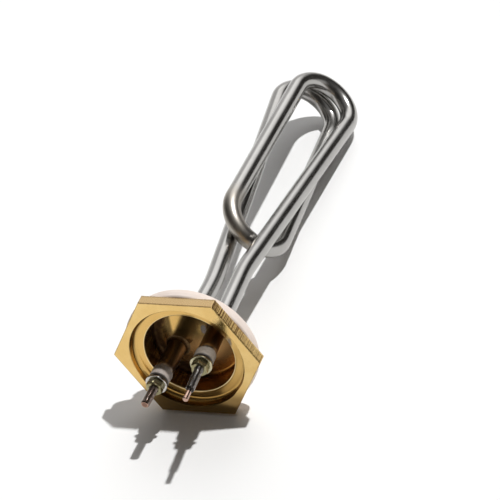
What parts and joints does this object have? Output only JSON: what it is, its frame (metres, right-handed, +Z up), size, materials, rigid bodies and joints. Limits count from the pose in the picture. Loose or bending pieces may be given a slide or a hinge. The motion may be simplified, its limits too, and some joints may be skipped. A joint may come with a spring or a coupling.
{
  "type": "screw plug immersion heater",
  "caption": "Brass hexagon screw plug with a terminal cup, soft sealing ring, ceramic-insulated threaded terminals and a folded stainless tubular heating element.",
  "frame": {"origin": "on the plug's axis, in the plane where the sealing ring seats against the tank", "axes": "+Y along the plug's axis into the tank, +Z up, square to a flat of the hexagon"},
  "size_m": [0.0692, 0.2469, 0.0616],
  "materials": {
    "brass": "forged and turned brass, bright, with fine tool marks",
    "silicone": "soft pale silicone rubber, matt",
    "stainless": "drawn stainless steel tube, polished",
    "magnesia": "compacted magnesium oxide powder",
    "resistance_alloy": "oxidised resistance wire",
    "braze": "silver braze, slightly dull",
    "pin_steel": "rolled thread, with a coppery bare end",
    "seal_resin": "cured silicone resin",
    "steatite": "unglazed steatite, grey white",
    "spring_steel": "dark spring steel",
    "plated_steel": "nickel plated steel, bright"
  },
  "bodies": {
    "root": {"screw_plug": "brass", "sealing_ring": "silicone", "element_sheath": "stainless", "magnesia_filling": "magnesia", "resistance_winding": "resistance_alloy", "braze_joint_left": "braze", "braze_joint_right": "braze", "terminal_pin_left": "pin_steel", "terminal_pin_right": "pin_steel", "end_seal_left": "seal_resin", "end_seal_right": "seal_resin", "insulator_left": "steatite", "insulator_right": "steatite", "spring_washer_left": "spring_steel", "spring_washer_right": "spring_steel", "flat_washer_left": "plated_steel", "flat_washer_right": "plated_steel", "terminal_nut_left": "plated_steel", "terminal_nut_right": "plated_steel"}
  },
  "joints": []
}
